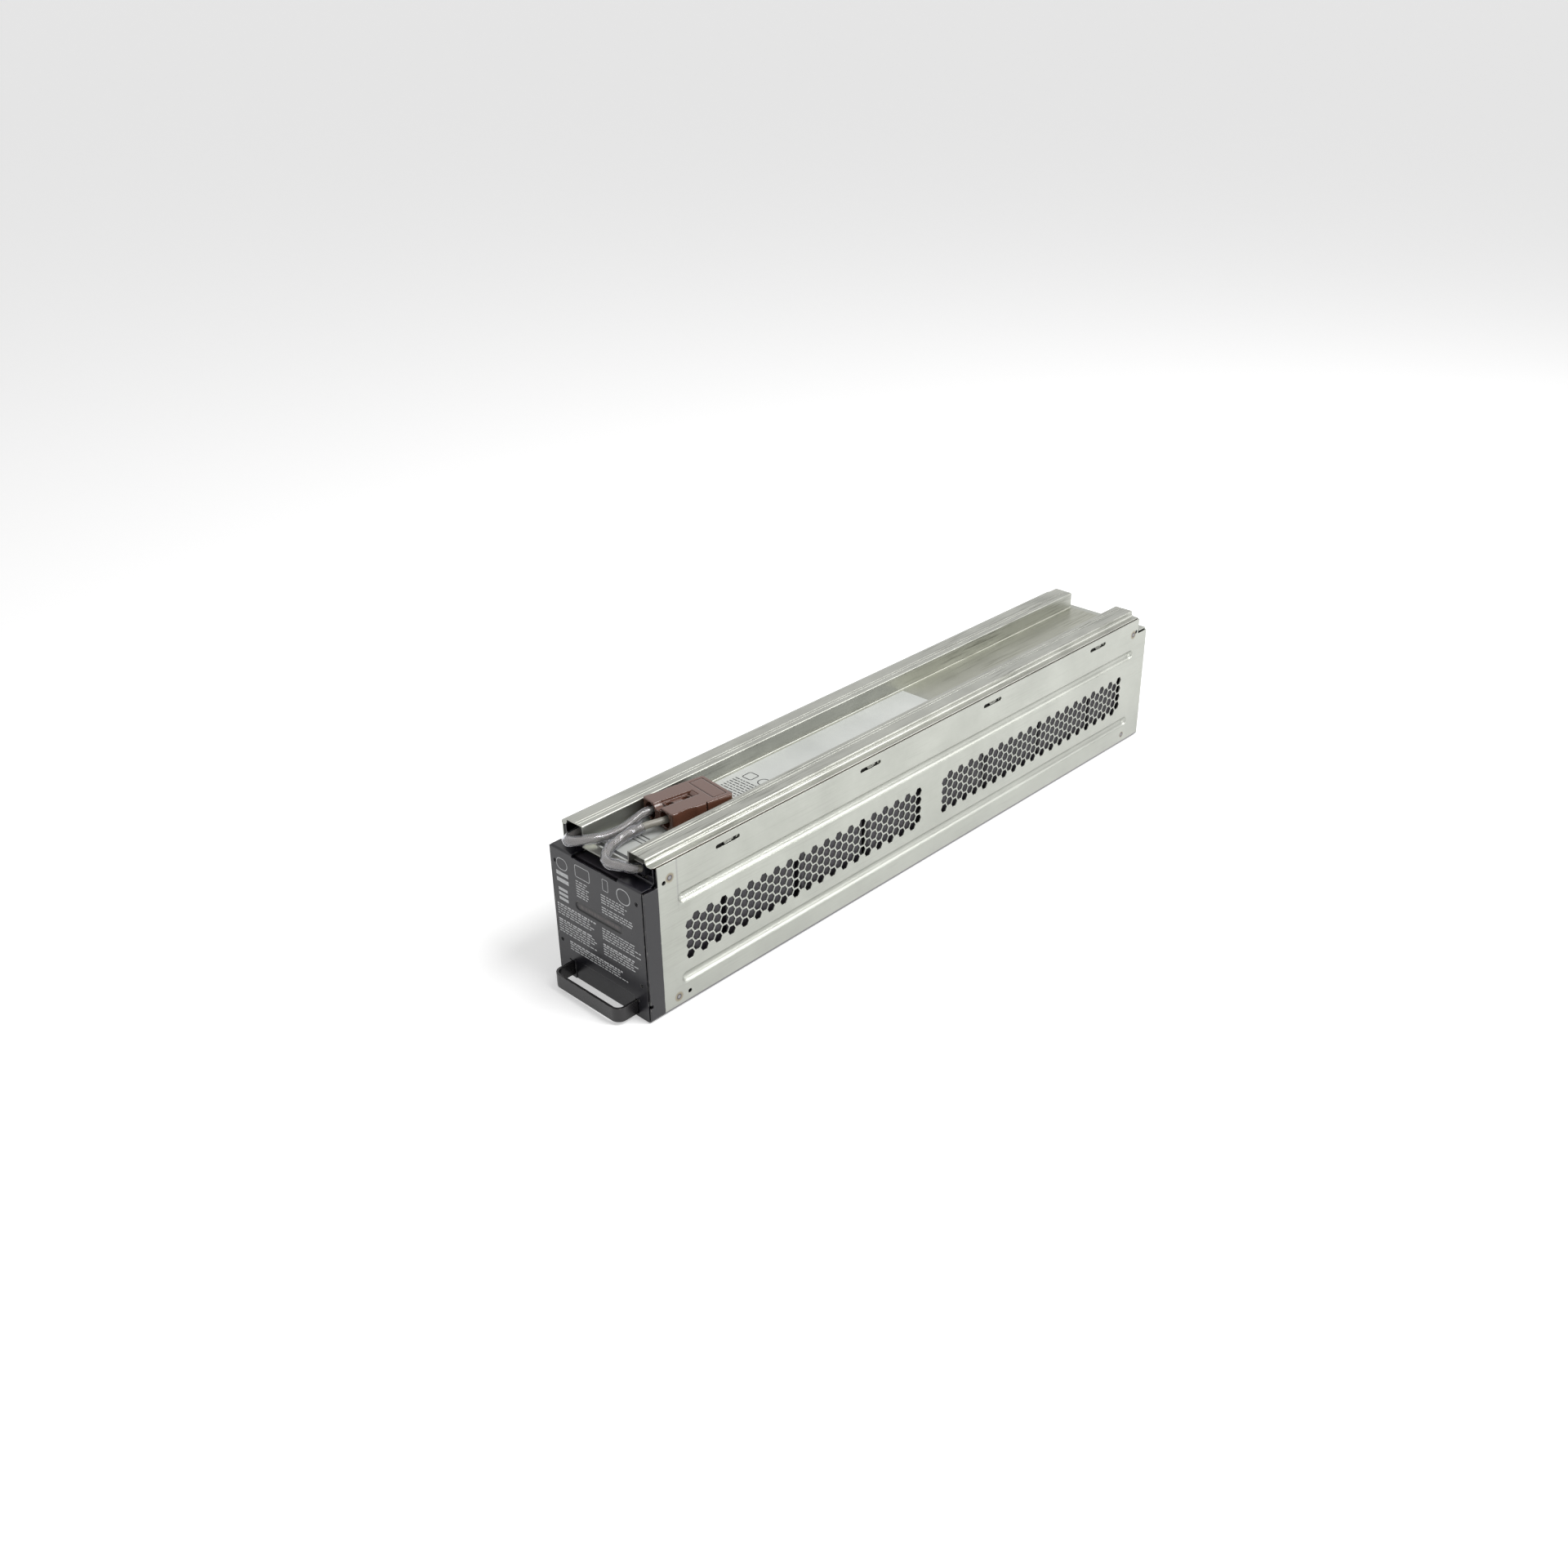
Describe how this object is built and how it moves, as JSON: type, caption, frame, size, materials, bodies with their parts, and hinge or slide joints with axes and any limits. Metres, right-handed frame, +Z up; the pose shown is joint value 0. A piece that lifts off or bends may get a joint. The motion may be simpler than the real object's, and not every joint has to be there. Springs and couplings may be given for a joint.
{
  "type": "ups battery cartridge",
  "caption": "Long folded-steel battery cartridge with vented sides, a cover with two hollow rails, a front pull handle and a sleeved two-pole power connector.",
  "frame": {"origin": "bottom centre of the box of the cartridge without its cables and connector, handle included", "axes": "+X right seen from the handle end, +Y from the handle to the rear, +Z up"},
  "size_m": [0.0984, 0.6184, 0.1278],
  "materials": {
    "silver_steel": "satin light grey sheet steel",
    "black_paint": "satin black powder coat",
    "handle_paint": "satin black powder coat",
    "rivet_steel": "dull",
    "black_rivet": "satin",
    "pad_sheet": "matte",
    "foam": "closed-cell foam",
    "tinned_brass": "tinned",
    "link_sleeve": "matte",
    "label": "matte film, bare",
    "housing_brown": "moulded, semi-gloss",
    "plated_copper": "silver plated",
    "spring_steel": "bright",
    "cable_jacket": "satin",
    "clear_sleeve": "wrinkled clear film",
    "boot_black": "matte",
    "battery_case": "moulded"
  },
  "bodies": {
    "root": {"case_tray": "silver_steel", "top_cover": "silver_steel", "rear_cap": "silver_steel", "front_frame": "black_paint", "front_plate": "black_paint", "pull_handle": "handle_paint", "side_rivets": "rivet_steel", "plate_rivets": "black_rivet", "base_pad": "pad_sheet", "separator_strips": "foam", "hold_down_foam": "foam", "battery_terminals": "tinned_brass", "series_links": "link_sleeve", "deck_label": "label", "connector_housing": "housing_brown", "connector_contacts": "plated_copper", "connector_springs": "spring_steel", "left_cable": "cable_jacket", "right_cable": "cable_jacket", "left_sleeve": "clear_sleeve", "right_sleeve": "clear_sleeve", "terminal_lugs": "tinned_brass", "lug_boots": "boot_black", "battery_1": "battery_case", "battery_2": "battery_case", "battery_3": "battery_case", "battery_4": "battery_case", "battery_5": "battery_case", "battery_6": "battery_case", "battery_7": "battery_case", "battery_8": "battery_case"}
  },
  "joints": []
}
